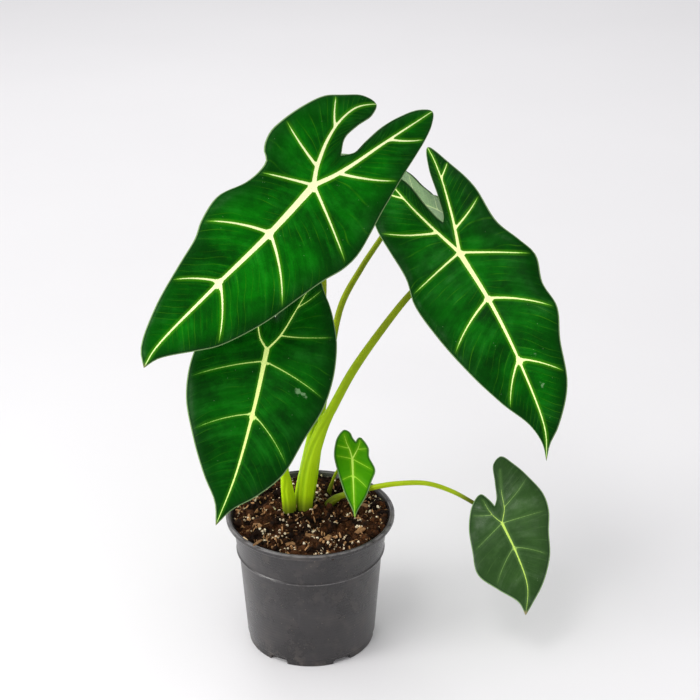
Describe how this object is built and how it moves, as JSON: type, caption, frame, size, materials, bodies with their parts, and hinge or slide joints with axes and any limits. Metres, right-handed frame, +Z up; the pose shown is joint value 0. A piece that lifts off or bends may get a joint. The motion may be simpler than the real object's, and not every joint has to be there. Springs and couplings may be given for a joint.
{
  "type": "potted alocasia",
  "caption": "Alocasia with velvety dark green arrow-shaped leaves and pale veins on slender stems, growing in a round grey plastic nursery pot of potting mix.",
  "frame": {"origin": "centre of the flat disc under the pot, where the pot stands", "axes": "+Z up; +X to the right and -Y towards the viewer of the side that the two tallest leaves face"},
  "size_m": [0.2768, 0.318, 0.4026],
  "materials": {
    "pot": "thin recycled polypropylene, satin, lightly scuffed and dusty",
    "potting_mix": "dark damp peat and coir with white perlite grains",
    "rootstock": "rough, corky, with fibrous pale roots",
    "petiole": "smooth living stem, yellow-green at the base, faintly streaked",
    "blade": "velvety deep green upper face with pale yellow-green veins, matt grey-green underside",
    "young_blade": "soft bright green young leaf with pale veins",
    "bark": "rough split bark, tan to dark brown"
  },
  "bodies": {
    "root": {"nursery_pot": "pot", "potting_mix": "potting_mix", "main_rootstock": "rootstock", "offset_rootstock": "rootstock", "front_left_petiole": "petiole", "front_right_petiole": "petiole", "front_low_petiole": "petiole", "back_petiole": "petiole", "low_right_petiole": "petiole", "pup_petiole": "petiole", "front_left_blade": "blade", "front_right_blade": "blade", "front_low_blade": "blade", "back_blade": "blade", "low_right_blade": "blade", "pup_blade": "young_blade", "bark_chip_1": "bark", "bark_chip_2": "bark", "bark_chip_3": "bark", "bark_chip_4": "bark", "bark_chip_5": "bark", "bark_chip_6": "bark"}
  },
  "joints": []
}
